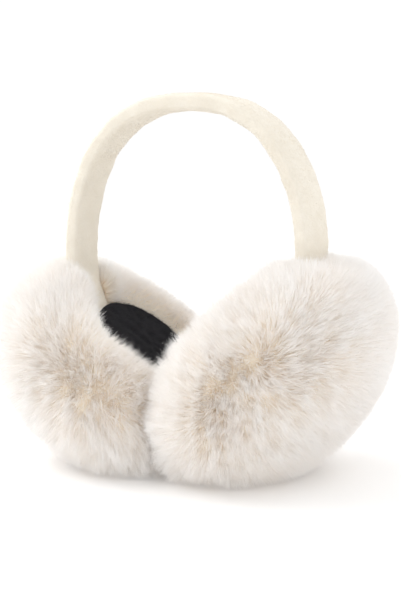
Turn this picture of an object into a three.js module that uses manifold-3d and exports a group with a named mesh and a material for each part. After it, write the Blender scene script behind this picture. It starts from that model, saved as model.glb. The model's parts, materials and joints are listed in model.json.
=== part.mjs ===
// Fur earmuffs, standing on their two ear pads.
//
// The padded headband is an arch in the XZ plane. Its two feet tuck into deep fur pads that lean
// together at the bottom and splay apart at the top. Each pad is a thick round cushion of fur with a
// hollow on the ear side, and a dark padded disc lies at the bottom of that hollow.
//
// Millimetres. +X runs from the left pad to the right one, -Y is the front, +Z is up, and the table is
// the plane Z = 0. The origin is the middle of the pair's footprint.

import * as THREE from "three";
import { mergeVertices } from "three/addons/utils/BufferGeometryUtils.js";
import Module from "manifold-3d";

const wasm = await Module();
wasm.setup();

// ---------------------------------------------------------------- driving dimensions

const FIT_GAP = 0.3; // between pieces that touch

const PAD_RADIUS = 65; // from the pad's axis to the tips of the fur, seen face on
const PAD_DEPTH_RATIO = 0.96; // the pad is a little narrower from front to back
const PAD_SIDES = 56;
// Heights from the pad's middle plane: the ring of fur towards the ear, and the dome away from it.
const EAR_FACE = { height: 35.4, flat: 15, roundness: 1.83, steps: 7 };
const OUTER_FACE = { height: 43.8, flat: 0, roundness: 1.93, steps: 12 };
const CREST_RADIUS = 42; // where the fur turns over into the hollow
const CREST_LEAN = 4; // how far back from the hollow's rim the fur stands
const CREST_SWELL = 1.5;
const CREST_STEPS = 4;

const LINING_RADIUS = 27.6;
const LINING_HEIGHT = 19.5; // of its ear face, from the pad's middle plane
const LINING_THICKNESS = 4;
const LINING_EDGE = 1.6; // rounding of the padded disc's rim
const LINING_EDGE_STEPS = 3;
const LINING_SIDES = 48;

// Lean is the angle above level that a pad's ear side faces, and height is its middle's.
const EARS = [
  { name: "left", side: -1, lean: 50, height: 39 },
  { name: "right", side: 1, lean: 43.7, height: 44.8 },
];
const PAD_SPACING = 74; // between the pads' middles, along X

const BAND_WIDTH = 20.3;
const BAND_THICKNESS = 8;
const BAND_EDGE = 3.6; // rounding of the padded strap's edges
const BAND_SET_FORWARD = 5.4; // the band stands a little in front of the pads' middles
const ARCH_HALF_WIDTH = 59; // to the middle of the strap
const ARCH_SPRING = 90.6; // the height where the straight arms end and the arch begins
const ARCH_TOP = 163.9;
const ARCH_ROUNDNESS = 2.37; // 2 would be an ellipse
const ARCH_STEPS = 22;
const BAND_STEPS = 60;
const BAND_EDGE_SEGMENTS = 2;
// The arms below the arch, from the tip of the foot up: how far in from the arm's line.
const FOOT = [
  { height: 62, inwards: 9.6 },
  { height: 69, inwards: 5.6 },
  { height: 76, inwards: 2.6 },
  { height: 83, inwards: 0.7 },
];
const PARTING_MARGIN = 1.2; // the fur parts this much wider than the strap, on each edge
const PARTING_TOP = 110; // above the pads
const PARTING_LEAN_BACK = 22; // from the lining's rim, along the pad's axis

const BEYOND = 300; // the size of a trimming block

const COLOURS = { fur: 0xeae0d3, velour: 0xece2d0, lining: 0x232228 };

// ---------------------------------------------------------------- solids

function toSolid(geometry) {
  const plain = geometry.clone();
  plain.deleteAttribute("normal");
  plain.deleteAttribute("uv");
  const merged = mergeVertices(plain, 1e-4);
  return new wasm.Manifold(
    new wasm.Mesh({
      numProp: 3,
      vertProperties: new Float32Array(merged.attributes.position.array),
      triVerts: new Uint32Array(merged.index.array),
    }),
  );
}

function toGeometry(solid) {
  const { vertProperties, triVerts } = solid.getMesh();
  const shared = new THREE.BufferGeometry();
  shared.setAttribute("position", new THREE.BufferAttribute(vertProperties, 3));
  shared.setIndex(new THREE.BufferAttribute(triVerts, 1));
  const faceted = shared.toNonIndexed();
  faceted.computeVertexNormals();
  return faceted;
}

// ---------------------------------------------------------------- where a pad stands

// The pad's own directions: axis points to the ear, up lies in its middle plane, away from the table.
function placing(ear) {
  const lean = THREE.MathUtils.degToRad(ear.lean);
  const axis = new THREE.Vector3(-ear.side * Math.cos(lean), 0, Math.sin(lean));
  const up = new THREE.Vector3(ear.side * Math.sin(lean), 0, Math.cos(lean));
  const middle = new THREE.Vector3((ear.side * PAD_SPACING) / 2, 0, ear.height);
  return { axis, up, middle };
}

// Turns a profile of (radius, height along the axis) round the pad's axis and stands it in place.
function turned(profile, sides, ear) {
  const { axis, up, middle } = placing(ear);
  const stand = new THREE.Matrix4().makeBasis(up, axis, up.clone().cross(axis)).setPosition(middle);
  return new THREE.LatheGeometry(profile, sides).scale(1, 1, PAD_DEPTH_RATIO).applyMatrix4(stand);
}

// ---------------------------------------------------------------- headband

function archPoint(angle) {
  const swell = (value) => Math.sign(value) * Math.abs(value) ** (2 / ARCH_ROUNDNESS);
  return new THREE.Vector3(
    -ARCH_HALF_WIDTH * swell(Math.cos(angle)),
    -BAND_SET_FORWARD,
    ARCH_SPRING + (ARCH_TOP - ARCH_SPRING) * swell(Math.sin(angle)),
  );
}

function footPoint(side, row) {
  return new THREE.Vector3(side * (ARCH_HALF_WIDTH - row.inwards), -BAND_SET_FORWARD, row.height);
}

// Moves the first of two points away from the second.
function lengthen(tip, next, extra) {
  tip.add(tip.clone().sub(next).setLength(extra));
}

// The line through the middle of the strap, from the tip of the left foot to that of the right one.
function bandLine(margin) {
  const points = FOOT.map((row) => footPoint(-1, row));
  for (let i = 0; i <= ARCH_STEPS; i++) points.push(archPoint((Math.PI * i) / ARCH_STEPS));
  points.push(...[...FOOT].reverse().map((row) => footPoint(1, row)));
  if (margin > 0) {
    lengthen(points[0], points[1], margin);
    lengthen(points.at(-1), points.at(-2), margin);
  }
  return new THREE.CatmullRomCurve3(points, false, "centripetal");
}

// The strap's section: x lies across its width, y through its thickness.
function bandSection(margin) {
  const halfWidth = BAND_WIDTH / 2 + margin;
  const halfThickness = BAND_THICKNESS / 2 + margin;
  const edge = BAND_EDGE + margin;
  const corners = [
    { x: 1, y: 1, start: 0 },
    { x: -1, y: 1, start: Math.PI / 2 },
    { x: -1, y: -1, start: Math.PI },
    { x: 1, y: -1, start: (3 * Math.PI) / 2 },
  ];
  const outline = new THREE.Shape();
  for (const { x, y, start } of corners) {
    const [cx, cy] = [x * (halfWidth - edge), y * (halfThickness - edge)];
    outline.absarc(cx, cy, edge, start, start + Math.PI / 2, false);
  }
  outline.closePath();
  return outline;
}

// The whole strap, or with a margin the pocket that it fits.
function band(margin) {
  const sweep = {
    steps: BAND_STEPS,
    curveSegments: BAND_EDGE_SEGMENTS,
    extrudePath: bandLine(margin),
  };
  return new THREE.ExtrudeGeometry(bandSection(margin), sweep);
}

// ---------------------------------------------------------------- fur pads

// Points of one face of the pad, out to its rim. The angle is a right angle at the pad's axis and 0 at
// the rim, and direction is 1 towards the ear.
function facePoints(face, from, direction) {
  const points = [];
  for (let i = 0; i <= face.steps; i++) {
    const angle = from * (1 - i / face.steps);
    const radius = face.flat + (PAD_RADIUS - face.flat) * Math.cos(angle) ** (2 / face.roundness);
    const height = face.height * Math.sin(angle) ** (2 / face.roundness);
    points.push(new THREE.Vector2(radius, direction * height));
  }
  return points;
}

function furProfile() {
  const crestShare = (CREST_RADIUS - EAR_FACE.flat) / (PAD_RADIUS - EAR_FACE.flat);
  const crestAngle = Math.acos(crestShare ** (EAR_FACE.roundness / 2));
  const outer = facePoints(OUTER_FACE, Math.PI / 2, -1);
  outer[0].x = 0;
  const ring = facePoints(EAR_FACE, crestAngle, 1).reverse();
  const crest = ring[ring.length - 1];
  const rim = new THREE.Vector2(LINING_RADIUS + FIT_GAP, LINING_HEIGHT);
  const overTheCrest = new THREE.Vector2(LINING_RADIUS + CREST_LEAN, crest.y + CREST_SWELL);
  const inwards = new THREE.QuadraticBezierCurve(crest, overTheCrest, rim).getPoints(CREST_STEPS);
  const floor = LINING_HEIGHT - LINING_THICKNESS - FIT_GAP;
  return [
    ...outer,
    ...ring.slice(1),
    ...inwards.slice(1),
    new THREE.Vector2(rim.x, floor),
    new THREE.Vector2(0, floor),
  ];
}

// The way that the fur parts for the strap: from its ear side down to the rim of the lining.
function parting(ear) {
  const { axis, up, middle } = placing(ear);
  const rim = middle.clone().addScaledVector(up, LINING_RADIUS).addScaledVector(axis, LINING_HEIGHT);
  const open = rim.clone().addScaledVector(axis, PARTING_LEAN_BACK);
  const alongBand = FOOT.filter((row) => row.height > rim.z);
  const outline = new THREE.Shape();
  outline.moveTo(ear.side * ARCH_HALF_WIDTH, PARTING_TOP);
  outline.lineTo(ear.side * ARCH_HALF_WIDTH, ARCH_SPRING);
  for (const row of [...alongBand].reverse()) outline.lineTo(footPoint(ear.side, row).x, row.height);
  outline.lineTo(rim.x, rim.z);
  outline.lineTo(open.x, open.z);
  outline.lineTo(open.x, PARTING_TOP);
  outline.closePath();
  const width = BAND_WIDTH + 2 * PARTING_MARGIN;
  return new THREE.ExtrudeGeometry(outline, { depth: width, bevelEnabled: false })
    .rotateX(Math.PI / 2)
    .translate(0, width / 2 - BAND_SET_FORWARD, 0);
}

// Everything below the table, and everything past the plane where the two pads meet.
function outsideBlocks(ear) {
  const below = new THREE.BoxGeometry(BEYOND, BEYOND, BEYOND).translate(0, 0, -BEYOND / 2);
  const pastMiddle = new THREE.BoxGeometry(BEYOND, BEYOND, BEYOND).translate(
    -ear.side * (BEYOND / 2 - FIT_GAP / 2),
    0,
    0,
  );
  return [below, pastMiddle];
}

function furPad(ear) {
  let solid = toSolid(turned(furProfile(), PAD_SIDES, ear));
  for (const cut of [...outsideBlocks(ear), parting(ear), band(FIT_GAP)]) {
    solid = solid.subtract(toSolid(cut));
  }
  return toGeometry(solid);
}

// ---------------------------------------------------------------- linings

function liningProfile() {
  const back = LINING_HEIGHT - LINING_THICKNESS;
  const points = [new THREE.Vector2(0, back), new THREE.Vector2(LINING_RADIUS, back)];
  for (let i = 0; i <= LINING_EDGE_STEPS; i++) {
    const angle = ((Math.PI / 2) * i) / LINING_EDGE_STEPS;
    points.push(
      new THREE.Vector2(
        LINING_RADIUS - LINING_EDGE * (1 - Math.cos(angle)),
        LINING_HEIGHT - LINING_EDGE * (1 - Math.sin(angle)),
      ),
    );
  }
  points.push(new THREE.Vector2(0, LINING_HEIGHT));
  return points;
}

// ---------------------------------------------------------------- the pair

function piece(name, geometry, color, roughness) {
  const mesh = new THREE.Mesh(
    geometry,
    new THREE.MeshStandardMaterial({ color, roughness, metalness: 0 }),
  );
  mesh.name = name;
  return mesh;
}

const earmuffs = new THREE.Group();
earmuffs.add(piece("headband", band(0), COLOURS.velour, 0.9));
for (const ear of EARS) {
  const lining = turned(liningProfile(), LINING_SIDES, ear);
  earmuffs.add(piece(`ear_fur_${ear.name}`, furPad(ear), COLOURS.fur, 1));
  earmuffs.add(piece(`ear_lining_${ear.name}`, lining, COLOURS.lining, 0.95));
}

// The pads lean a little differently, so the pair is centred on its own footprint.
const footprint = new THREE.Box3().setFromObject(earmuffs);
const centre = footprint.getCenter(new THREE.Vector3());
earmuffs.position.set(-centre.x, -centre.y, -footprint.min.z);

export default earmuffs;
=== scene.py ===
# %% [markdown]
# # Fur earmuffs
#
# A pair of plush earmuffs stands on a table by itself: two deep fur pads lean together at the bottom,
# and a padded velour band arches over them. This lesson dresses the measured model. The model gives
# where everything is. What follows adds what makes it look like cloth and fur.
#
# Everything is in metres, in the model's own frame: +X across from the left pad to the right one,
# -Y to the front, and the table at Z = 0.

# %% Load the measured model
import json
import math

import bpy
import numpy as np
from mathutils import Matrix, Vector


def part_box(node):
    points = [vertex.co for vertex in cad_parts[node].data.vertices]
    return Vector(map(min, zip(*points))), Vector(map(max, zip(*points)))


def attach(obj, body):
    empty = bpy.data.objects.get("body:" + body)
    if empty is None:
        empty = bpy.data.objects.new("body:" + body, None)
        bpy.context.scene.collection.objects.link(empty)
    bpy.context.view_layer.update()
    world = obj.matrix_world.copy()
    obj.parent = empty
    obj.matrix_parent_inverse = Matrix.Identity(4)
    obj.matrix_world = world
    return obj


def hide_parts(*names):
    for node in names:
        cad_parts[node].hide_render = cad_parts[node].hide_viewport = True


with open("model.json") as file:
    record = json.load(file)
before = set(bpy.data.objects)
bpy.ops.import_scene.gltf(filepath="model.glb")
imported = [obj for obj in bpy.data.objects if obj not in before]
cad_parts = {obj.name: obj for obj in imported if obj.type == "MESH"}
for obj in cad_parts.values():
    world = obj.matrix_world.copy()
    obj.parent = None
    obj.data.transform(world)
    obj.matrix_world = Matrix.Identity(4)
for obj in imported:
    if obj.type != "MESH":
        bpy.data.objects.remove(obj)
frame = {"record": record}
scene = bpy.context.scene
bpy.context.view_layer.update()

MM = 0.001
WHITE = (1.0, 1.0, 1.0, 1.0)


# %% [markdown]
# ## Where the pads stand
#
# Each pad is a body of revolution about an axis that points at the ear. The record keeps the middle
# and the direction of each lining's ear face, so the axis comes from there, and a pad's size from its
# box. A point of a pad is then written in three numbers: its distance from the axis, its angle round
# the axis, and its height along the axis. That is easier to think in than X, Y and Z on a thing that
# leans.

# %% The pads' own axes
LINING_HEIGHT = 19.5 * MM  # of the lining's ear face, from the pad's middle plane
LINING_RADIUS = 27.6 * MM
DEPTH_RATIO = 0.96  # a pad is a little narrower from front to back
SIDES = ("left", "right")

mounts = {mount["name"]: mount for mount in frame["record"]["mounts"]}


def pad_axes(name):
    """The pad's middle and its three directions: up in its middle plane, across, and to the ear."""
    face = mounts["ear_face_" + name]
    axis = np.array(face["axis"]) / np.linalg.norm(face["axis"])
    middle = np.array(face["pos_m"]) - axis * LINING_HEIGHT
    across = np.array([0.0, 1.0, 0.0])
    up = np.cross(across, axis)
    up *= np.sign(up[2])
    return {"middle": middle, "up": up, "across": across, "axis": axis}


pads = {name: pad_axes(name) for name in SIDES}
fur_low, fur_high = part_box("ear_fur_left")
PAD_RADIUS = (fur_high.y - fur_low.y) / 2 / DEPTH_RATIO
MEETING_X = (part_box("ear_fur_left")[1].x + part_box("ear_fur_right")[0].x) / 2
print("pad radius", round(PAD_RADIUS, 4), "pads meet at x =", round(MEETING_X, 4))


# %% [markdown]
# ## The outline of a pad
#
# Cut a pad through its axis and its outline runs from the middle of the outer dome, over the rim, up
# to the crest of the ring of fur round the ear, and down into the hollow to the lining's edge. Two
# quarter ovals and one bend say all of it. The outline is kept as many small steps, so that later
# steps can ask for the point and the outward direction at any share of its length.

# %% The outline, in even steps
EAR_FACE = {"height": 35.4 * MM, "flat": 15 * MM, "roundness": 1.83}
OUTER_FACE = {"height": 43.8 * MM, "flat": 0.0, "roundness": 1.93}
CREST_RADIUS = 42 * MM
CREST_LEAN = 4 * MM
CREST_SWELL = 1.5 * MM
OUTLINE_STEPS = 400
DOME_STEPS, RING_STEPS, HOLLOW_STEPS = 200, 100, 60  # before they are spaced evenly


def unit(vectors):
    return vectors / np.maximum(np.linalg.norm(vectors, axis=1)[:, None], 1e-9)


def read_table(at, places, table):
    """Rows of a table at positions between its own rows' places."""
    return np.stack([np.interp(at, places, column) for column in table.T], 1)


def distance_along(line):
    """How far along a line each of its points is."""
    return np.concatenate([[0], np.cumsum(np.linalg.norm(np.diff(line, axis=0), axis=1))])


def oval(face, angle):
    """Distance from the axis and height of one face of the pad. The angle is 0 at the rim."""
    power = 2 / face["roundness"]
    radius = face["flat"] + (PAD_RADIUS - face["flat"]) * np.cos(angle) ** power
    return np.stack([radius, face["height"] * np.sin(angle) ** power], 1)


def pad_outline():
    dome = oval(OUTER_FACE, np.linspace(math.pi / 2 - 1e-6, 0, DOME_STEPS)) * [1, -1]
    share = (CREST_RADIUS - EAR_FACE["flat"]) / (PAD_RADIUS - EAR_FACE["flat"])
    crest_angle = math.acos(share ** (EAR_FACE["roundness"] / 2))
    ring = oval(EAR_FACE, np.linspace(0, crest_angle, RING_STEPS))
    crest, edge = ring[-1], np.array([LINING_RADIUS, LINING_HEIGHT])
    over = np.array([LINING_RADIUS + CREST_LEAN, crest[1] + CREST_SWELL])
    t = np.linspace(0, 1, HOLLOW_STEPS)[:, None]
    hollow = crest * (1 - t) ** 2 + over * 2 * t * (1 - t) + edge * t**2
    line = np.concatenate([dome, ring[1:], hollow[1:]])
    length = distance_along(line)
    return read_table(np.linspace(0, length[-1], OUTLINE_STEPS), length, line), length[-1]


OUTLINE, OUTLINE_LENGTH = pad_outline()
SHARES = np.linspace(0, 1, OUTLINE_STEPS)
print("outline from dome to lining:", round(OUTLINE_LENGTH, 4), "m")


# %% [markdown]
# Fur stands up from its backing, so its direction is the outline's outward direction. Over the tight
# bend at the crest the true outward direction swings round within a few millimetres, and hairs that
# followed it would cross below the surface. Real pile on a bent backing fans out more evenly, so the
# direction is averaged over about a hair's length.

# %% Fanned direction of the hair along the outline
FAN_WIDTH = 9 * MM
EDGE_DIRECTION = (-0.62, 0.78)  # at the lining's edge the hair leans in over the dark disc


def fanned(outline):
    ahead = np.gradient(outline, axis=0)
    outward = unit(np.stack([ahead[:, 1], -ahead[:, 0]], 1))
    pad = OUTLINE_STEPS // 4
    before = np.tile([0.0, -1.0], (pad, 1))
    after = np.tile(EDGE_DIRECTION, (pad, 1))
    long = np.concatenate([before, outward, after])
    reach = FAN_WIDTH / OUTLINE_LENGTH * OUTLINE_STEPS
    kernel = np.exp(-0.5 * (np.arange(-pad, pad + 1) / reach) ** 2)
    kernel /= kernel.sum()
    return unit(np.stack([np.convolve(column, kernel, "same")[pad:-pad] for column in long.T], 1))


FAN = fanned(OUTLINE)


def in_place(pad, profile, angle):
    """World points or directions from (distance, height) pairs and angles round the pad's axis."""
    distance, height = profile[:, 0:1], profile[:, 1:2]
    around = np.cos(angle)[:, None] * pad["up"] + np.sin(angle)[:, None] * DEPTH_RATIO * pad["across"]
    return distance * around + height * pad["axis"]


def surface(pad, share, angle):
    """Points on the fur's outer form and the way that the hair stands there."""
    points = pad["middle"] + in_place(pad, read_table(share, SHARES, OUTLINE), angle)
    return points, unit(in_place(pad, read_table(share, SHARES, FAN), angle))


print("crest at share", round(float(np.argmax(OUTLINE[:, 1]) / OUTLINE_STEPS), 3))


# %% [markdown]
# ## Helpers for meshes
#
# Fur is far too many hairs to make one by one, so every hair is a row in a few large arrays, and the
# arrays go into a mesh in one step. A hair here is a flat ribbon that narrows to a point. A long hair
# bends once on its way, which takes three triangles, and fine underhair is a single triangle.
# Blender's own hair curves look finer, but they aren't a mesh, and everything on this object has to be
# one. Cushions, the strap and the linings are rings of points joined one to the next.

# %% Build a mesh from arrays
UV_NAME = "OFBake"


def new_mesh(name, points, faces, sizes, uv=None):
    """points (n, 3), faces a flat list of corner indices, sizes the corners of each face."""
    mesh = bpy.data.meshes.new(name)
    sizes = np.asarray(sizes, np.int32)
    mesh.vertices.add(len(points))
    mesh.vertices.foreach_set("co", np.asarray(points, np.float32).ravel())
    mesh.loops.add(len(faces))
    mesh.loops.foreach_set("vertex_index", np.asarray(faces, np.int32))
    mesh.polygons.add(len(sizes))
    mesh.polygons.foreach_set("loop_start", np.concatenate([[0], np.cumsum(sizes)[:-1]]).astype(np.int32))
    mesh.update(calc_edges=True)
    mesh.polygons.foreach_set("use_smooth", np.full(len(sizes), True))
    if uv is not None:
        layer = mesh.uv_layers.new(name=UV_NAME)
        layer.uv.foreach_set("vector", np.asarray(uv, np.float32)[np.asarray(faces)].ravel())
    piece = bpy.data.objects.new(name, mesh)
    scene.collection.objects.link(piece)
    print(name, "has", len(points), "points and", int((sizes - 2).sum()), "triangles")
    return piece


# %% Build a closed mesh from rings of points
def full_turn(count):
    """Angles evenly round a circle."""
    return np.arange(count) * 2 * math.pi / count


def turned_mesh(name, rows, first, last):
    """rows (rings, round, 3), with one more point to close each end. Its faces always look outward."""
    rings, count = rows.shape[:2]
    points = np.concatenate([rows.reshape(-1, 3), [first, last]])
    ring = np.arange(count)
    turn = (ring + 1) % count
    low = count * np.arange(rings - 1)[:, None]
    quads = np.stack([low + ring, low + turn, low + count + turn, low + count + ring], -1).reshape(-1, 4)
    end = (rings - 1) * count
    start_cap = np.stack([np.full(count, len(points) - 2), turn, ring], 1)
    end_cap = np.stack([np.full(count, len(points) - 1), end + ring, end + turn], 1)
    caps = np.concatenate([start_cap, end_cap])
    a, b, c = [points[np.concatenate([quads[:, :3], quads[:, [0, 2, 3]], caps])[:, k]] for k in range(3)]
    if (a * np.cross(b, c)).sum() < 0:  # a negative volume: the faces look inward
        quads, caps = quads[:, ::-1], caps[:, ::-1]
    faces = np.concatenate([quads.ravel(), caps.ravel()])
    return new_mesh(name, points, faces, [4] * len(quads) + [3] * len(caps))


# %% Hairs as tapering ribbons
TONE_STRIP = 1 / 512  # half the width that one hair takes in its tone map


def ribbons(name, stations, across, widths, tone):
    """stations (hairs, n, 3) from root to tip, across (hairs, 3) the flat of the ribbon, widths at all
    stations but the tip, tone (hairs,) from 0 to 1."""
    hairs, steps = len(stations), stations.shape[1] - 1
    half = across[:, None, :] * np.asarray(widths)[None, :, None] / 2
    body = stations[:, :steps]
    points = np.concatenate([body - half, body + half, stations[:, steps:]], 1)
    per_hair = 2 * steps + 1
    pattern = [corner for k in range(steps - 1) for corner in (k, k + steps, k + steps + 1, k + 1)]
    pattern += [steps - 1, 2 * steps - 1, 2 * steps]
    faces = (per_hair * np.arange(hairs)[:, None] + np.array(pattern)).ravel()
    sizes = np.tile([4] * (steps - 1) + [3], hairs)
    rise = np.linspace(0.01, 0.99, steps + 1)
    rise = np.concatenate([rise[:-1], rise])
    sway = np.array([-1.0] * steps + [1.0] * steps + [0.0]) * TONE_STRIP
    strip = tone[:, None] * (1 - 4 * TONE_STRIP) + 2 * TONE_STRIP + sway
    uv = np.stack([strip.ravel(), np.tile(rise, hairs)], 1)
    return new_mesh(name, points.reshape(-1, 3), faces, sizes, uv)


# %% [markdown]
# Nothing on cloth is quite even. A few slow waves added together make a wandering value that is smooth
# from place to place, which decides where the pile leans, where it is a shade darker and where it
# stands shorter. Fixed seeds keep it the same each time the file runs.

# %% A wandering value, and small helpers
def wander(points, wavelength, seed, channels=3, waves=7):
    rng = np.random.default_rng(seed)
    total = np.zeros((len(points), channels))
    for _ in range(waves):
        heading = rng.normal(size=3)
        heading *= 2 * math.pi / (wavelength * rng.uniform(0.7, 1.5)) / np.linalg.norm(heading)
        turn = rng.uniform(0, 2 * math.pi, channels)
        total += np.sin((points @ heading)[:, None] + turn)
    return total / math.sqrt(waves / 2)


def flat_to(vectors, normals):
    """The part of each vector that lies along the surface."""
    return vectors - (vectors * normals).sum(1)[:, None] * normals


def ramp(values, start, full):
    """0 up to start, growing evenly to 1 at full. Full may lie on either side of start."""
    return np.clip((values - start) / (full - start), 0, 1)


line = np.linspace([0, 0, 0], [30 * MM, 0, 0], 4)
print("wandering over 30 mm:", wander(line, 10 * MM, 1, 1)[:, 0].round(2))


# %% [markdown]
# ## The fur coat
#
# Plush fur is thousands of fine hairs knitted into a backing. They stand straight out of it, and near
# their tips they gather into small soft locks. Seen from the side a lock is a smooth streak. Seen end
# on it is a dark little gap among bright tips, which is why the fur looks deepest where it points at
# the viewer. So the coat is made lock by lock: each lock has a place, a lean of its own, and a dozen or
# so hairs that start apart and draw together towards its tip.
#
# Two things press the coat out of shape. The table flattens it from below, and the other pad flattens
# it in the middle, where the tips of the two coats mingle a little before they press.

# %% Where hairs can't go
FLOOR_CLEARANCE = 0.3 * MM
band_low, band_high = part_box("headband")
BAND_WIDTH = band_high.y - band_low.y
BAND_MIDDLE_Y = (band_high.y + band_low.y) / 2
BAND_THICKNESS = 8 * MM
TOUCH_DEPTH = -0.6 * MM  # hairs of the two coats mingle this far past the middle before they press
FLOOR_UNEVEN = 1.6 * MM  # pressed tips end at heights that differ by up to this much
FLOOR_SPREAD = 0.55  # how far a tip goes outwards for each metre that the table presses it up
FLOOR_EASE = 6 * MM
PAD_SPREAD = 0.35  # the same where the other pad presses
PAD_UNEVEN = 0.22


def press(points, pad, side, give):
    """Presses points above the table and out of the other pad. give varies from hair to hair, 0 to 1."""
    pressed = points.copy()
    out = unit((pressed - pad["middle"]) * [1, 1, 0])
    below = np.clip(FLOOR_UNEVEN * give + FLOOR_CLEARANCE - pressed[..., 2], 0, None)
    pressed += out * (below * FLOOR_SPREAD)[:, None]
    low = FLOOR_CLEARANCE + FLOOR_UNEVEN * give * np.exp(-below / FLOOR_EASE)
    pressed[:, 2] = np.where(below > 0, low, pressed[:, 2])
    past = np.clip((pressed[:, 0] - MEETING_X) * -side + TOUCH_DEPTH, 0, None)
    spread = unit((pressed - pad["middle"]) * [0, 1, 1])
    pressed += spread * (past * PAD_SPREAD)[:, None]
    pressed[:, 0] += side * past * (1 - PAD_UNEVEN * give)
    pressed[:, 2] = np.maximum(pressed[:, 2], FLOOR_CLEARANCE)
    return pressed


print("band", round(BAND_WIDTH, 4), "wide, its middle at y =", round(BAND_MIDDLE_Y, 4))


# %% [markdown]
# The strap's feet go down into the fur on each pad's ear side. A sewn cover has a slot there, and the
# pile parts round the strap: hairs near the slot's edges are pushed out past them, and right under the
# strap none grow. For that the fur has to know where the strap is, so the strap's line comes first: an
# arch, two arms, and feet that bend in.

# %% The band's own line, so that the fur can part round it
ARM_X = (band_high.x - band_low.x - BAND_THICKNESS) / 2  # from the band's middle to an arm's middle
BAND_MIDDLE_X = (band_high.x + band_low.x) / 2
ARCH_SPRING = 90.6 * MM
ARCH_TOP = band_high.z - BAND_THICKNESS / 2
ARCH_ROUNDNESS = 2.37
# The arms below the arch: how far in from the arm's line at each height.
FOOT = {
    "height": np.array([62, 69, 76, 83, 90.6]) * MM,
    "inwards": np.array([9.6, 5.6, 2.6, 0.7, 0.0]) * MM,
}
RIGHT_ARM_TWIST = math.radians(8)  # soft padding lets this arm turn its outer face a little forward


def beside_band(points, side):
    """How far each point is out from the middle of an arm's thickness, and from the middle of its width."""
    inwards = np.interp(points[:, 2], FOOT["height"], FOOT["inwards"])
    out = side * (points[:, 0] - BAND_MIDDLE_X) - (ARM_X - inwards)
    wide = points[:, 1] - BAND_MIDDLE_Y
    twist = RIGHT_ARM_TWIST if side > 0 else 0.0
    return out * math.cos(twist) - wide * math.sin(twist), wide * math.cos(twist) + out * math.sin(twist)


PARTING_REACH = 20 * MM
PARTING_MARGIN = 0.4 * MM
PUSHED_ASIDE = 4.5 * MM  # in from the strap's edge, hairs are pushed aside, and further in none grow
PARTING_UNEVEN = 1.2 * MM


def in_parting(points, side):
    """True in the strap's room and from its inner face to the hollow, and how wide of its middle."""
    out, wide = beside_band(points, side)
    within = (np.abs(wide) < BAND_WIDTH / 2 + PARTING_MARGIN) & (points[:, 2] > FOOT["height"][0])
    return within & (out < BAND_THICKNESS / 2 + PARTING_MARGIN) & (out > -PARTING_REACH), wide


def make_way(points, side, ease):
    """Moves what is in the parting out past the nearer edge of the strap. ease varies from 0 to 1."""
    inside, wide = in_parting(points, side)
    edge = BAND_WIDTH / 2 + PARTING_MARGIN + PARTING_UNEVEN * ease
    moved = points.copy()
    moved[inside, 1] = (BAND_MIDDLE_Y + np.sign(wide) * edge)[inside]
    return moved, inside & (np.abs(wide) < BAND_WIDTH / 2 - PUSHED_ASIDE)


print("arms' middles are at x =", round(BAND_MIDDLE_X - ARM_X, 4), "and", round(BAND_MIDDLE_X + ARM_X, 4))


# %% [markdown]
# Hairs must cover a pad evenly, not crowd where its outline has many steps. A sunflower's head shows
# how: each place turns on by the golden angle, and the distance along the outline grows with the area
# covered so far.

# %% Places for the locks, evenly over a pad
AREA_TO = np.cumsum(OUTLINE[:, 0])
AREA_TO = AREA_TO / AREA_TO[-1]
GOLDEN_TURN = math.pi * (3 - math.sqrt(5))
TURN_SCATTER = 0.02


def even_places(count, rng):
    """Shares of the outline and angles that cover the pad evenly, a little disturbed."""
    order = np.arange(count) + rng.uniform(-0.5, 0.5, count)
    share = np.interp((order + 0.5) / count, AREA_TO, SHARES)
    angle = np.arange(count) * GOLDEN_TURN + rng.normal(0, TURN_SCATTER, count)
    return share, angle


print("half of a pad's area lies before share", round(float(np.interp(0.5, AREA_TO, SHARES)), 3))


# %% [markdown]
# No pad is brushed all over in one direction. This pair lies smooth on its outer sides, stands in
# stronger locks low down in front where hands hold it, leans one way at the top and another at the back,
# and is shaken up fuller on one side. A few gentle masks say all that, each from 0 to 1 over a pad.

# %% Where each hair stands
LOCKS = 6400
HAIRS_IN_LOCK = 14
UNDERHAIRS = 134000
HAIR_LENGTH = 13 * MM
CREST_LENGTH = 12 * MM
EDGE_LENGTH = 8 * MM  # shorter hair round the lining
LOCK_SPREAD = 1.1 * MM
UNDERHAIR_SPREAD = 0.8 * MM
NEAR_AXIS = 3 * MM  # places nearer the pad's axis are scattered as if they were this far out
QUICK_WIDER = 1.0  # fewer hairs have to be wider to cover as much
# Where the masks start and where they are full, in the model's own Y or Z.
FRONT, LOW = (-8 * MM, -33 * MM), (85 * MM, 55 * MM)  # between them lies the ruffled pile
BACK, TOP = (-5 * MM, 40 * MM), (62 * MM, 87 * MM)
# Which way the pile was last brushed: all over a pad, and what the top's front and back add to that.
BRUSHED = {
    "left": np.array([[0.16, 0.09, -0.12], [-0.38, 0.0, 0.26], [0.46, 0.05, 0.10]]),
    "right": np.array([[0.10, 0.06, 0.16], [0.0, 0.0, -0.06], [0.0, 0.05, 0.0]]),
}
# The brushing is uneven: slowly over a pad, and finely where the pile is ruffled.
SLOW_LEAN, FINE_LEAN, RUFFLED_LEAN = 0.12, 0.03, 0.05
# Hair is longer or shorter than its place asks for, by these shares of its length.
DOME_EXTRA = 0.16  # the dome's hair is a little longer than the measured form is deep
RIM_EXTRA = 0.1
RING_EXTRA = 0.05
STRAP_EXTRA = 0.12
TRIMMED = 0.45  # at the top of the left lining's near edge the hair is cut this much shorter
TRIM_HEIGHTS = (58 * MM, 66 * MM)
UNEVEN, UNEVEN_RUFFLED = 0.045, 0.03
SLOW_UNEVEN, SLOW_RUFFLED = 0.015, 0.03
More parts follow.
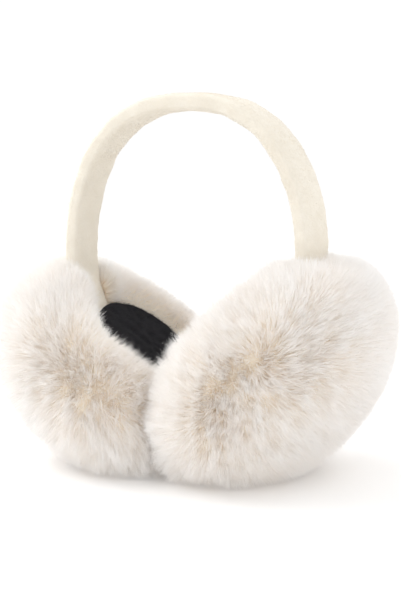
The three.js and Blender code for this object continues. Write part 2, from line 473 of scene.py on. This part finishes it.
# Where the pile was shaken up fuller: which way from the pad's middle, how near that way it starts and
# how soon it is full, and how much longer the hair stands.
FULLER = {
    "left": {"way": (-0.8, -0.35, 0.45), "from": 0.35, "full": 0.95, "extra": 0.34},
    "right": {"way": (-0.74, -0.25, 0.62), "from": 0.35, "full": 0.95, "extra": 0.28},
}


def hair_length(share):
    lengths = [HAIR_LENGTH, HAIR_LENGTH, CREST_LENGTH, EDGE_LENGTH]
    return np.interp(share, [0, 0.72, 0.86, 1], lengths)


def ruffled(points):
    """1 low down in front, where the pads are handled and the hair stands in strong locks, 0 elsewhere."""
    return ramp(points[:, 1], *FRONT) * ramp(points[:, 2], *LOW)


def combing(points, name, seed):
    """The way that the pile was last brushed, which changes slowly over a pad."""
    back, top = ramp(points[:, 1:2], *BACK), ramp(points[:, 2:3], *TOP)
    brushed = BRUSHED[name][0] + top * (1 - back) * BRUSHED[name][1] + top * back * BRUSHED[name][2]
    fine = (FINE_LEAN + RUFFLED_LEAN * ruffled(points))[:, None] * wander(points, 10 * MM, seed + 1)
    return brushed + SLOW_LEAN * wander(points, 42 * MM, seed) + fine


def around(share, angle, spread, rng):
    """Shares and angles scattered a given distance about some places."""
    distance = np.maximum(np.interp(share, SHARES, OUTLINE[:, 0]), NEAR_AXIS)
    scattered = share + rng.normal(0, 1, len(share)) * spread / OUTLINE_LENGTH
    scattered = np.where(scattered > 1, 2 - scattered, np.abs(scattered))
    return scattered, angle + rng.normal(0, 1, len(share)) * spread / distance


def before_strap(points, side):
    """1 just in front of the strap, where the tucked coat stands a little higher, 0 elsewhere."""
    out, wide = beside_band(points, side)
    front = ramp(wide, -6 * MM, -11 * MM) * ramp(wide, -34 * MM, -18 * MM)
    return front * np.exp(-((out / (16 * MM)) ** 2)) * ramp(points[:, 2], 60 * MM, 80 * MM)


def fuller(points, name):
    """How much longer the hair is on the side of a pad where the pile stands fullest."""
    side = FULLER[name]
    towards = unit(points - pads[name]["middle"]) @ unit(np.array([side["way"]]))[0]
    return side["extra"] * ramp(towards, side["from"], side["full"])


def reach_of(share, tip, name, side, seed, rng):
    """How long each hair is beside the pile's depth there: uneven, longer on the dome and at the edge."""
    rough = UNEVEN + UNEVEN_RUFFLED * ruffled(tip)
    uneven = rng.normal(0, 1, len(share)) * np.interp(share, [0, 0.6, 0.8, 1], [0, 0, 0.05, 0.15])
    uneven += rng.normal(0, 1, len(share)) * rough
    slow = (SLOW_UNEVEN + SLOW_RUFFLED * ruffled(tip)) * wander(tip, 14 * MM, seed, 1)[:, 0]
    extras = [DOME_EXTRA, DOME_EXTRA, RIM_EXTRA, RING_EXTRA, 0]
    extra = np.interp(share, [0, 0.5, 0.65, 0.85, 1], extras)
    extra += STRAP_EXTRA * before_strap(tip, side) + fuller(tip, name)
    if side < 0:
        near_top = ramp(tip[:, 2], *TRIM_HEIGHTS) * (tip[:, 1] < pads[name]["middle"][1])
        extra -= TRIMMED * near_top * np.interp(share, [0.82, 0.92], [0, 1])
    return 1 + uneven + slow + extra


def settle(stations, pad, side, rng):
    """Hairs pressed by the table and by the other pad, and pushed aside by the strap."""
    hairs, steps = stations.shape[:2]
    give = np.repeat(rng.uniform(0, 1, hairs), steps)
    flat = press(stations.reshape(-1, 3), pad, side, give)
    flat, gone = make_way(flat, side, give)
    return flat.reshape(stations.shape), ~gone.reshape(hairs, steps)[:, -1]


# %% Locks of long hair
LOCK_WIDTHS = np.array([0.26, 0.24]) * MM * QUICK_WIDER
STATIONS = (0, 0.55, 1.0)
LOCK_LEAN, LOCK_LEAN_RUFFLED = 0.045, 0.07  # how much one lock leans apart from its neighbours
EDGE_DISORDER = 2.2  # the pile round the lining is this much less orderly
HAIR_LEAN = 0.06
PULL = (0.25, 0.7)  # how far a lock's hairs draw together, least and most
SMOOTH_PULL = 0.3  # the share of it that is left where the pile lies smooth
CURL = 0.45 * MM
SHADE_WAVE = 26 * MM  # over this length the fur's shade wanders
SHADE_WANDER = 0.10


def locks(name, side, seed):
    """Stations, flats, tones and outline shares of the long hairs on one pad."""
    pad = pads[name]
    rng = np.random.default_rng(seed)
    share, angle = even_places(LOCKS, rng)
    heart, _ = surface(pad, share, angle)
    strong = ruffled(heart)
    lean = rng.normal(0, 1, heart.shape) * (LOCK_LEAN + LOCK_LEAN_RUFFLED * strong)[:, None]
    lean *= np.interp(share, [0, 0.7, 0.85], [1, 1, EDGE_DISORDER])[:, None]
    pull = rng.uniform(*PULL, LOCKS) * (SMOOTH_PULL + (1 - SMOOTH_PULL) * strong)
    lock_tone = 0.5 + SHADE_WANDER * wander(heart, SHADE_WAVE, seed + 3, 1)[:, 0]
    lock_tone += rng.normal(0, 0.08, LOCKS)

    lock = np.repeat(np.arange(LOCKS), HAIRS_IN_LOCK)
    share, angle = around(share[lock], angle[lock], LOCK_SPREAD, rng)
    tip, way = surface(pad, share, angle)
    length = hair_length(share)
    reach = length * reach_of(share, tip, name, side, seed + 4, rng)
    root = tip - way * length[:, None]
    lean = combing(tip, name, seed + 5) + lean[lock] + rng.normal(0, HAIR_LEAN, tip.shape)
    lean = flat_to(lean, way)
    gather = (heart[lock] - tip) * pull[lock][:, None]
    curl = flat_to(rng.normal(0, CURL, tip.shape), way)
    stations = []
    for t in STATIONS:
        rise = way * (reach * t)[:, None]
        bend = lean * (length * t**1.7)[:, None]
        stations.append(root + rise + bend + gather * t**1.5 + curl * math.sin(math.pi * t))
    stations, keep = settle(np.stack(stations, 1), pad, side, rng)
    across = unit(np.cross(stations[:, -1] - stations[:, 1], way + 0.6 * rng.normal(size=way.shape)))
    tone = np.clip(lock_tone[lock] + rng.normal(0, 0.12, len(lock)), 0, 1)
    return stations[keep], across[keep], tone[keep], share[keep]


# %% [markdown]
# Locks alone would leave gaps. Fine single hairs fill in evenly between them, a little shorter and less
# gathered, as underfur does.

# %% Fine underhair
UNDERHAIR_WIDTH = 0.42 * MM * QUICK_WIDER  # at the root, running out to nothing at the tip
UNDERHAIR_SHORTER = 0.03
UNDERHAIR_LEAN = 0.09


def underhair(name, side, seed):
    """Roots, tips, flats and tones of the fine hairs that fill in between the locks."""
    pad = pads[name]
    rng = np.random.default_rng(seed)
    share, angle = even_places(UNDERHAIRS, rng)
    share, angle = around(share, angle, UNDERHAIR_SPREAD, rng)
    tip, way = surface(pad, share, angle)
    length = hair_length(share)
    reach = length * (reach_of(share, tip, name, side, seed + 4, rng) - UNDERHAIR_SHORTER)
    root = tip - way * length[:, None]
    lean = flat_to(combing(tip, name, seed + 5) + rng.normal(0, UNDERHAIR_LEAN, tip.shape), way)
    ends = np.stack([root, root + way * reach[:, None] + lean * length[:, None]], 1)
    ends, keep = settle(ends, pad, side, rng)
    across = unit(np.cross(ends[:, 1] - ends[:, 0], way + 0.6 * rng.normal(size=way.shape)))
    tone = 0.5 + SHADE_WANDER * wander(tip, SHADE_WAVE, seed + 3, 1)[:, 0]
    tone += rng.normal(0, 0.14, len(tip))
    tone = np.clip(tone, 0, 1)
    return ends[keep], across[keep], tone[keep]


# %% Grow the coat
def coat(name, side, seed):
    stations, across, tone, share = locks(name, side, seed)
    outer = np.interp(share, SHARES, AREA_TO) < 0.5
    pieces = []
    for part, mine in (("locks_outer", outer), ("locks_inner", ~outer)):
        hairs = (stations[mine], across[mine], LOCK_WIDTHS, tone[mine])
        pieces.append(ribbons(f"ear_fur_{name}_{part}", *hairs))
    ends, across, tone = underhair(name, side, seed)
    pieces.append(ribbons(f"ear_fur_{name}_underhair", ends, across, [UNDERHAIR_WIDTH], tone))
    return pieces


coats = {"left": coat("left", -1, 11), "right": coat("right", 1, 57)}


# %% [markdown]
# ## The undercoat
#
# Between the long hairs real fur has a dense, shorter underfur that nobody sees through. Here it is one
# closed cushion a few millimetres below the tips, pressed flat in the same places as the hairs, and
# parted for the band. It takes up the light that gets between the hairs, and it is what the model's
# measured solid stands for.

# %% Undercoat cushions
UNDERCOAT_DEPTH = 6.6 * MM
UNDERCOAT_ROUND = 120
UNDERCOAT_ALONG = 72
LINING_SEAT = 4.3 * MM  # the lining's thickness and its gap
FLUFF = 0.5 * MM
CUSHION_GIVE = 0.45
STRAP_ROOM = (3.5 * MM, 0.5 * MM)  # the parting opens from this far outside the strap's edges
ABOVE_FOOT = (4 * MM, 10 * MM)


def undercoat(name, side, seed):
    pad = pads[name]
    share = np.interp(np.linspace(0.004, 1, UNDERCOAT_ALONG), AREA_TO**0.6, SHARES)
    grids = np.meshgrid(share, full_turn(UNDERCOAT_ROUND), indexing="ij")
    shares, angles = [grid.ravel() for grid in grids]
    points, way = surface(pad, shares, angles)
    depth = UNDERCOAT_DEPTH * np.interp(shares, [0, 0.8, 0.95, 1], [1, 1, 0.75, 0.15])
    depth += FLUFF * wander(points, 7 * MM, seed, 1)[:, 0] * np.interp(shares, [0.9, 1], [1, 0])
    points = points - way * depth[:, None]
    dome = pad["middle"] - pad["axis"] * (OUTER_FACE["height"] - UNDERCOAT_DEPTH)
    seat = pad["middle"] + pad["axis"] * (LINING_HEIGHT - LINING_SEAT)
    edge = points[-UNDERCOAT_ROUND:] - pad["axis"] * LINING_SEAT
    points = np.concatenate([points, edge, [dome, seat]])
    points = press(points, pad, side, np.full(len(points), CUSHION_GIVE))

    out, wide = beside_band(points, side)
    parted = ramp(np.abs(wide) - BAND_WIDTH / 2, *STRAP_ROOM)
    parted *= ramp(points[:, 2] - FOOT["height"][0], *ABOVE_FOOT)
    parted *= (out > -PARTING_REACH) & (out < 0)
    points[:, 0] -= side * out * parted

    rows = points[:-2].reshape(UNDERCOAT_ALONG + 1, UNDERCOAT_ROUND, 3)
    return turned_mesh(f"ear_fur_{name}_undercoat", rows, points[-2], points[-1])


undercoats = {"left": undercoat("left", -1, 21), "right": undercoat("right", 1, 67)}


# %% [markdown]
# ## The headband
#
# The band is a strip of velour wrapped over soft padding, so its edges are round, its faces crown a
# little, and nothing about it is quite straight. Its line is the measured one: a rounded arch, straight
# arms, and feet that bend in. A section like a flattened oval is swept along it.

# %% The band's line
BAND_ROWS = 220
BAND_SIDES = 44
FACE_FLATNESS = 4.2  # 2 would be an oval section
LINE_EASING = 6  # passes that ease the small corners of the foot's table


def signed_power(values, power):
    return np.sign(values) * np.abs(values) ** power


def band_line():
    """Points along the middle of the strap, evenly spaced, from the left foot to the right one."""
    angle = np.linspace(0, math.pi, 120)
    swell = 2 / ARCH_ROUNDNESS
    arch_x = -ARM_X * signed_power(np.cos(angle), swell)
    arch_z = ARCH_SPRING + (ARCH_TOP - ARCH_SPRING) * np.abs(np.sin(angle)) ** swell
    foot_z = np.linspace(FOOT["height"][0], FOOT["height"][-1], 24)[:-1]
    foot_x = ARM_X - np.interp(foot_z, FOOT["height"], FOOT["inwards"])
    x = np.concatenate([-foot_x, arch_x, foot_x[::-1]])
    z = np.concatenate([foot_z, arch_z, foot_z[::-1]])
    line = np.stack([x + BAND_MIDDLE_X, np.full_like(x, BAND_MIDDLE_Y), z], 1)
    length = distance_along(line)
    line = read_table(np.linspace(0, length[-1], BAND_ROWS), length, line)
    for _ in range(LINE_EASING):
        line[1:-1] = (line[:-2] + 2 * line[1:-1] + line[2:]) / 4
    return line, length[-1]


BAND_LINE, BAND_LENGTH = band_line()
print("the band is", round(BAND_LENGTH, 4), "m along its middle")


# %% The padded strap
PLUMPNESS = 0.25 * MM
BAND_AHEAD = unit(np.gradient(BAND_LINE, axis=0))
BAND_OUT = np.stack([-BAND_AHEAD[:, 2], np.zeros(BAND_ROWS), BAND_AHEAD[:, 0]], 1)
TWIST_ROWS = (0.42, 0.68)  # the right arm's twist starts and is full at these shares of the strap


def band_surface(row, turn):
    """Points on the strap and their outward directions, at row positions and angles round the section."""
    line = read_table(row, np.arange(BAND_ROWS), BAND_LINE)
    out = unit(read_table(row, np.arange(BAND_ROWS), BAND_OUT))
    wide = np.tile([0.0, 1.0, 0.0], (len(row), 1))
    twist = RIGHT_ARM_TWIST * ramp(row / BAND_ROWS, *TWIST_ROWS)[:, None]
    out, wide = out * np.cos(twist) - wide * np.sin(twist), wide * np.cos(twist) + out * np.sin(twist)
    power = 2 / FACE_FLATNESS
    across, through = signed_power(np.cos(turn), power), signed_power(np.sin(turn), power)
    half_width, half_thickness = BAND_WIDTH / 2 - PLUMPNESS, BAND_THICKNESS / 2 - PLUMPNESS
    points = line + (across * half_width)[:, None] * wide + (through * half_thickness)[:, None] * out
    steep = FACE_FLATNESS - 1
    normal = (signed_power(across, steep) / half_width)[:, None] * wide
    normal = unit(normal + (signed_power(through, steep) / half_thickness)[:, None] * out)
    soft = 0.6 * wander(points, 16 * MM, 5, 1)[:, 0] + 0.4 * wander(points, 6 * MM, 6, 1)[:, 0]
    return points + normal * (PLUMPNESS * np.clip(soft, -1, 1))[:, None], normal


def strap():
    row, turn = np.meshgrid(np.arange(BAND_ROWS), full_turn(BAND_SIDES), indexing="ij")
    points, _ = band_surface(row.ravel().astype(float), turn.ravel())
    rows = points.reshape(BAND_ROWS, BAND_SIDES, 3)
    return turned_mesh("headband_cover", rows, BAND_LINE[0], BAND_LINE[-1])


headband = strap()


# %% [markdown]
# Velour has a pile about a millimetre long that lies one way. Up close it only shows as a soft edge and
# a bloom of light where the strap turns away, but without that edge the strap looks like plastic. Each
# fibre is a single thin triangle.

# %% Short pile
FIBRE_LEAN, FIBRE_DISORDER = 0.9, 0.5
SHORTEST, LONGEST = 0.6, 1.15  # beside the pile's length


def short_pile(name, roots, normals, lie, length, width, seed):
    """Single-triangle fibres standing on roots, leaning towards lie."""
    rng = np.random.default_rng(seed)
    count = len(roots)
    lean = flat_to(lie + FIBRE_DISORDER * rng.normal(size=(count, 3)), normals)
    way = unit(normals + FIBRE_LEAN * lean)
    tips = roots + way * (length * rng.uniform(SHORTEST, LONGEST, count))[:, None]
    across = unit(np.cross(way, normals + 0.6 * rng.normal(size=(count, 3))))
    tone = 0.5 + 0.2 * wander(roots, 12 * MM, seed, 1)[:, 0] + rng.normal(0, 0.1, count)
    return ribbons(name, np.stack([roots, tips], 1), across, [width], np.clip(tone, 0, 1))


BAND_FIBRES = 70000
BAND_PILE = 0.55 * MM
BAND_FIBRE_WIDTH = 0.09 * MM
SECTION_STEPS = 721
CROWN_PARTING = 6 * MM  # the pile turns from one arm's way to the other's within this of the middle


def band_pile():
    rng = np.random.default_rng(31)
    row = rng.uniform(0, BAND_ROWS - 1, BAND_FIBRES)
    # Fibres go evenly round the section's outline, not evenly by angle.
    turn = np.linspace(0, 2 * math.pi, SECTION_STEPS)
    section, _ = band_surface(np.full(SECTION_STEPS, BAND_ROWS / 2), turn)
    length = distance_along(section)
    turn = np.interp(rng.uniform(0, length[-1], BAND_FIBRES), length, turn)
    roots, normals = band_surface(row, turn)
    down = np.clip((roots[:, :1] - BAND_MIDDLE_X) / CROWN_PARTING, -1, 1)
    lie = down * BAND_AHEAD[np.round(row).astype(int)]
    return short_pile("headband_pile", roots, normals, lie, BAND_PILE, BAND_FIBRE_WIDTH, 32)


headband_fibres = band_pile()


# %% [markdown]
# ## The linings
#
# A dark brushed knit covers a thin pad at the bottom of each hollow. It is almost black, so what shows
# is its edge, its slight crown and the pale hairs that stray over it.

# %% Padded discs
LINING_THICKNESS = 4 * MM
LINING_ROUND = 96
LINING_DIP = 0.25 * MM  # the face sinks unevenly by about this much between its highest places
LINING_EDGE = 1.6 * MM
LINING_INNERMOST = 0.6 * MM
LINING_BACK = LINING_HEIGHT - LINING_THICKNESS


def lining_profile():
    """Distances from the axis and heights, from the middle of the back round to that of the face."""
    t = np.linspace(0, math.pi / 2, 7)
    corner = np.array([LINING_RADIUS - LINING_EDGE, LINING_HEIGHT - LINING_EDGE])
    rim = corner + LINING_EDGE * np.stack([np.cos(t), np.sin(t)], 1)
    flat = np.linspace(LINING_RADIUS - LINING_EDGE, LINING_INNERMOST, 14)[1:]
    face = np.stack([flat, np.full(len(flat), LINING_HEIGHT)], 1)
    back = [[distance, LINING_BACK] for distance in (LINING_INNERMOST, LINING_RADIUS * 0.6, LINING_RADIUS)]
    return np.concatenate([back, rim, face])


def lining(name, seed):
    pad = pads[name]
    profile = lining_profile()
    rows = len(profile)
    angle = np.tile(full_turn(LINING_ROUND), rows)
    spun = in_place(pad, np.repeat(profile, LINING_ROUND, 0), angle) + pad["middle"]
    soft = wander(spun, 9 * MM, seed, 1) * LINING_DIP
    in_front = np.repeat(profile[:, 1] > LINING_BACK, LINING_ROUND)[:, None]
    spun = spun - pad["axis"] * np.abs(soft) * in_front
    back = pad["middle"] + pad["axis"] * LINING_BACK
    face = pad["middle"] + pad["axis"] * LINING_HEIGHT
    return turned_mesh(f"ear_lining_{name}_disc", spun.reshape(rows, LINING_ROUND, 3), back, face)


LINING_FIBRES = 9000
LINING_PILE = 1.0 * MM
LINING_FIBRE_WIDTH = 0.16 * MM
BRUSHED_ACROSS, BRUSHED_DOWN = 1.3, 0.65


def lining_pile(name, seed):
    pad = pads[name]
    rng = np.random.default_rng(seed)
    distance = LINING_RADIUS * 0.985 * np.sqrt(rng.uniform(0, 1, LINING_FIBRES))
    angle = rng.uniform(0, 2 * math.pi, LINING_FIBRES)
    height = np.full(LINING_FIBRES, LINING_HEIGHT - LINING_DIP)
    roots = in_place(pad, np.stack([distance, height], 1), angle) + pad["middle"]
    normals = np.tile(pad["axis"], (LINING_FIBRES, 1))
    lie = np.tile(BRUSHED_ACROSS * pad["across"] - BRUSHED_DOWN * pad["up"], (LINING_FIBRES, 1))
    name = f"ear_lining_{name}_pile"
    return short_pile(name, roots, normals, lie, LINING_PILE, LINING_FIBRE_WIDTH, seed)


linings = {name: (lining(name, 41 + k), lining_pile(name, 43 + k)) for k, name in enumerate(SIDES)}


# %% [markdown]
# ## Finishes
#
# Two effects turn up in several finishes, so each is a node group that is built once. The first colours
# a fibre: it is warmer and a little darker at its root, palest at its tip, and no two hairs are the same
# shade. The warmer, darker root is partly the fibre's own colour and partly painted shade, standing in
# for the warm shade deep among the fibres. Each fibre carries its own shade across its map and its rise
# along it, so the group only has to read the map. The second is relief for everything that is too fine
# to model: the fluff of underfur and the nap of velour and knit, as noise that can be drawn out in one
# direction.

# %% Node helpers
def new_material(name, **constants):
    """A material with one Principled shader whose plain sockets are set to constants."""
    material = bpy.data.materials.new(name)
    material.use_nodes = True
    shader = material.node_tree.nodes["Principled BSDF"]
    for socket, value in constants.items():
        shader.inputs[socket.replace("_", " ")].default_value = value
    return material, material.node_tree, shader


def new_group(name, inputs, outputs):
    """A shader node group with named sockets, its input and output nodes made."""
    group = bpy.data.node_groups.new(name, "ShaderNodeTree")
    for socket, kind, value in inputs:
        made = group.interface.new_socket(socket, in_out="INPUT", socket_type="NodeSocket" + kind)
        made.default_value = value
    for socket, kind in outputs:
        group.interface.new_socket(socket, in_out="OUTPUT", socket_type="NodeSocket" + kind)
    return group, group.nodes.new("NodeGroupInput"), group.nodes.new("NodeGroupOutput")


def place(tree, group, **values):
    """Puts a group in a material with its own values."""
    node = tree.nodes.new("ShaderNodeGroup")
    node.node_tree = group
    for socket, value in values.items():
        node.inputs[socket.replace("_", " ")].default_value = value
    return node


def feed(tree, socket, value):
    """Sets a socket to a value, or links another node's output to it."""
    if isinstance(value, bpy.types.NodeSocket):
        tree.links.new(value, socket)
    else:
        socket.default_value = value


def math_node(tree, operation, *values):
    node = tree.nodes.new("ShaderNodeMath")
    node.operation = operation
    for k, value in enumerate(values):
        feed(tree, node.inputs[k], value)
    return node.outputs[0]


def mix_colours(tree, factor, first, second):
    node = tree.nodes.new("ShaderNodeMix")
    node.data_type = "RGBA"
    for k, value in ((0, factor), (6, first), (7, second)):
        feed(tree, node.inputs[k], value)
    return node.outputs[2]


def srgb(red, green, blue):
    """A colour given the way that screens show it, as the shader wants it."""
    channels = [c / 255 for c in (red, green, blue)]
    linear = [c / 12.92 if c <= 0.04045 else ((c + 0.055) / 1.055) ** 2.4 for c in channels]
    return (*linear, 1.0)


# %% The colour of a fibre
def fibre_colour_group():
    colours = [(socket, "Color", WHITE) for socket in ("Root", "Tip", "Shade")]
    group, taken, given = new_group(
        "fibre_colour",
        colours + [("Root reach", "Float", 0.6)],
        [("Colour", "Color"), ("Tone", "Float")],
    )
    chart = group.nodes.new("ShaderNodeUVMap")
    chart.uv_map = UV_NAME
    split = group.nodes.new("ShaderNodeSeparateXYZ")
    group.links.new(chart.outputs["UV"], split.inputs[0])
    tone, rise = split.outputs["X"], split.outputs["Y"]
    reach = math_node(group, "DIVIDE", rise, taken.outputs["Root reach"])
    clear = math_node(group, "MINIMUM", reach, 1.0)
    eased = math_node(group, "POWER", clear, 0.8)
    # The mix from root to tip is partly painted shade: the warmer, darker root stands in for shade deep in
    # the pile.
    along_it = mix_colours(group, eased, taken.outputs["Root"], taken.outputs["Tip"])
    darker = math_node(group, "SUBTRACT", 1.0, tone)
    darker = math_node(group, "POWER", darker, 1.6)
    coloured = mix_colours(group, darker, along_it, taken.outputs["Shade"])
    group.links.new(coloured, given.inputs["Colour"])
    group.links.new(tone, given.inputs["Tone"])
    return group


# %% Relief of what is too fine to model
def nap_relief_group():
    group, taken, given = new_group(
        "nap_relief",
        [
            ("Fineness", "Float", 1500.0),
            ("Drawn out", "Vector", (1.0, 1.0, 1.0)),
            ("Patches", "Float", 60.0),
        ],
        [("Height", "Float"), ("Patch", "Float")],
    )
    place_at = group.nodes.new("ShaderNodeTexCoord")
    stretched = group.nodes.new("ShaderNodeVectorMath")
    stretched.operation = "MULTIPLY"
    group.links.new(place_at.outputs["Object"], stretched.inputs[0])
    group.links.new(taken.outputs["Drawn out"], stretched.inputs[1])
    noises = (
        (stretched.outputs[0], "Fineness", 3.0, 0.6, "Height"),
        (place_at.outputs["Object"], "Patches", 2.0, 0.5, "Patch"),
    )
    for where, scale, detail, roughness, socket in noises:
        noise = group.nodes.new("ShaderNodeTexNoise")
        noise.inputs["Detail"].default_value = detail
        noise.inputs["Roughness"].default_value = roughness
        group.links.new(where, noise.inputs["Vector"])
        group.links.new(taken.outputs[scale], noise.inputs["Scale"])
        group.links.new(noise.outputs[0], given.inputs[socket])
    return group


FIBRE_COLOUR = fibre_colour_group()
NAP_RELIEF = nap_relief_group()
print("node groups:", [group.name for group in bpy.data.node_groups])


# %% [markdown]
# A fibre's finish is its colour, a roughness that follows its shade, and a sheen, because a hair lit
# from behind glows at its edges. The surfaces under the fibres get the same colours, a step darker,
# with the relief as bump.

# %% Fibre and ground materials
GROUND_ROUGHNESS = 0.95


def fibre_material(name, root, tip, shade, root_reach, roughness, sheen):
    cloth = {"Sheen_Weight": sheen, "Sheen_Roughness": 0.45, "Specular_IOR_Level": 0.25}
    material, tree, shader = new_material(name, **cloth)
    shader.inputs["Sheen Tint"].default_value = (1.0, 0.98, 0.95, 1.0)
    fibre = place(tree, FIBRE_COLOUR, Root=root, Tip=tip, Shade=shade, Root_reach=root_reach)
    tree.links.new(fibre.outputs["Colour"], shader.inputs["Base Color"])
    soft = math_node(tree, "MULTIPLY_ADD", fibre.outputs["Tone"], 0.12, roughness - 0.06)
    tree.links.new(soft, shader.inputs["Roughness"])
    return material


def ground_material(name, colour, shade, sheen, fineness, drawn_out, patches, bump):
    cloth = {"Sheen_Weight": sheen, "Sheen_Roughness": 0.5, "Specular_IOR_Level": 0.2}
    material, tree, shader = new_material(name, **cloth)
    nap = place(tree, NAP_RELIEF, Fineness=fineness, Drawn_out=drawn_out, Patches=patches)
    broad = math_node(tree, "MULTIPLY", nap.outputs["Patch"], nap.outputs["Height"])
    mixed = math_node(tree, "MULTIPLY", broad, 2.4)
    tree.links.new(mix_colours(tree, mixed, shade, colour), shader.inputs["Base Color"])
    soft = math_node(tree, "MULTIPLY_ADD", nap.outputs["Height"], 0.2, GROUND_ROUGHNESS - 0.1)
    tree.links.new(soft, shader.inputs["Roughness"])
    relief = tree.nodes.new("ShaderNodeBump")
    relief.inputs["Strength"].default_value = 0.7
    relief.inputs["Distance"].default_value = bump
    tree.links.new(nap.outputs["Height"], relief.inputs["Height"])
    tree.links.new(relief.outputs["Normal"], shader.inputs["Normal"])
    return material


EVEN = (1.0, 1.0, 1.0)
KNIT_WAY = (1.0, 0.35, 1.0)
PALE_SHEEN, DARK_SHEEN = 0.3, 0.05
# The fur's warm root colour is partly its own and partly painted shade for the gaps deep between the hairs.
fur_hair = fibre_material(
    "fur_hair", root=srgb(247, 237, 221), tip=srgb(251.2, 251, 250.8), shade=srgb(250, 248, 246),
    root_reach=0.78, roughness=0.8, sheen=PALE_SHEEN,
)
fur_underfur = ground_material(
    "fur_underfur", colour=srgb(249, 242, 230), shade=srgb(246, 236, 219), sheen=PALE_SHEEN,
    fineness=900.0, drawn_out=EVEN, patches=90.0, bump=0.8 * MM,
)
velour_fibre = fibre_material(
    "velour_fibre", root=srgb(230, 222, 207), tip=srgb(242, 238, 230), shade=srgb(230, 222, 207),
    root_reach=0.8, roughness=0.85, sheen=PALE_SHEEN,
)
velour_ground = ground_material(
    "velour_ground", colour=srgb(236, 230, 218), shade=srgb(226, 218, 203), sheen=PALE_SHEEN,
    fineness=1500.0, drawn_out=EVEN, patches=120.0, bump=0.3 * MM,
)
lining_fibre = fibre_material(
    "lining_fibre", root=srgb(16, 15, 19), tip=srgb(36, 35, 43), shade=srgb(20, 19, 25),
    root_reach=0.9, roughness=0.8, sheen=DARK_SHEEN,
)
lining_ground = ground_material(
    "lining_ground", colour=srgb(20, 19, 25), shade=srgb(12, 11, 15), sheen=DARK_SHEEN,
    fineness=1200.0, drawn_out=KNIT_WAY, patches=150.0, bump=0.3 * MM,
)


def finish(piece, material):
    piece.data.materials.append(material)
    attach(piece, "root")


for name in SIDES:
    for piece in coats[name]:
        finish(piece, fur_hair)
    finish(undercoats[name], fur_underfur)
    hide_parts("ear_fur_" + name)
    disc, nap = linings[name]
    finish(disc, lining_ground)
    finish(nap, lining_fibre)
    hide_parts("ear_lining_" + name)
finish(headband, velour_ground)
finish(headband_fibres, velour_fibre)
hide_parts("headband")
for material in bpy.data.materials:
    print("finish", material.name, "is on", material.users, "pieces")


# %% [markdown]
# ## Table, light and camera
#
# The table and the air round it are plain white, so that the pale fur shows by its own soft shadows. A
# big soft light from the upper left does the modelling, a lower one beside it reaches under the pads,
# and a weak one from behind on the right lifts the shadows. Pale fur is bright because light goes from
# hair to hair many times before it leaves, so the light is followed through many bounces. With few,
# the gaps between hairs turn grey. The camera stands a little above the table and to the right of
# straight ahead.

# %% Floor and light
FLOOR_SIZE = 6.0
FLOOR_GLOW = 0.11  # a lit table keeps the shadows soft


def floor_piece():
    half = FLOOR_SIZE / 2
    corners = [(-half, -half, 0), (half, -half, 0), (half, half, 0), (-half, half, 0)]
    piece = new_mesh("floor", corners, [0, 1, 2, 3], [4])
    material, tree, shader = new_material("floor_paper", Roughness=0.9, Specular_IOR_Level=0.1)
    shader.inputs["Base Color"].default_value = (0.9, 0.9, 0.9, 1.0)
    shader.inputs["Emission Color"].default_value = WHITE
    shader.inputs["Emission Strength"].default_value = FLOOR_GLOW
    piece.data.materials.append(material)
    return piece


floor_piece()


AIM = Vector((0.0059, -0.0048, 0.0755))  # the lights and the camera look here, near the object's middle
LIGHT_DISTANCE = 1.2
LIGHT_SIZE = 0.9
ROOM_BRIGHTNESS = 1.02
FUR_BOUNCES = 40


def direction(azimuth, elevation):
    """Azimuth 0 is straight in front and grows towards +X. Both are in degrees."""
    azimuth, elevation = math.radians(azimuth), math.radians(elevation)
    level = math.cos(elevation)
    return Vector((math.sin(azimuth) * level, -math.cos(azimuth) * level, math.sin(elevation)))


def stand(thing, azimuth, elevation, distance):
    """Links a light or a camera to the scene, at some distance from AIM and turned towards it."""
    scene.collection.objects.link(thing)
    thing.location = AIM + distance * direction(azimuth, elevation)
    thing.rotation_euler = (AIM - thing.location).to_track_quat("-Z", "Y").to_euler()


def area_light(name, azimuth, elevation, power):
    """A big soft light aimed at the object."""
    light = bpy.data.lights.new(name, "AREA")
    light.shape = "DISK"
    light.size = LIGHT_SIZE
    light.energy = power
    stand(bpy.data.objects.new(name, light), azimuth, elevation, LIGHT_DISTANCE)


area_light("key_light", azimuth=-70, elevation=50, power=4.4)
area_light("low_side_light", azimuth=-100, elevation=25, power=4.8)
area_light("back_light", azimuth=120, elevation=50, power=1.8)

world = bpy.data.worlds.new("white_room")
world.use_nodes = True
room = world.node_tree.nodes["Background"]
room.inputs["Color"].default_value = WHITE
room.inputs["Strength"].default_value = ROOM_BRIGHTNESS
scene.world = world
scene.view_settings.view_transform = "Standard"
scene.cycles.diffuse_bounces = FUR_BOUNCES
scene.cycles.max_bounces = FUR_BOUNCES


# %% Camera
CAMERA_AZIMUTH = 28.46
CAMERA_ELEVATION = 6.76
CAMERA_DISTANCE = 0.5105
LENS = 67.9

camera_data = bpy.data.cameras.new("camera")
camera_data.lens = LENS
camera = bpy.data.objects.new("camera", camera_data)
stand(camera, CAMERA_AZIMUTH, CAMERA_ELEVATION, CAMERA_DISTANCE)
bpy.context.scene.camera = camera
print("camera at", tuple(round(x, 4) for x in camera.location))
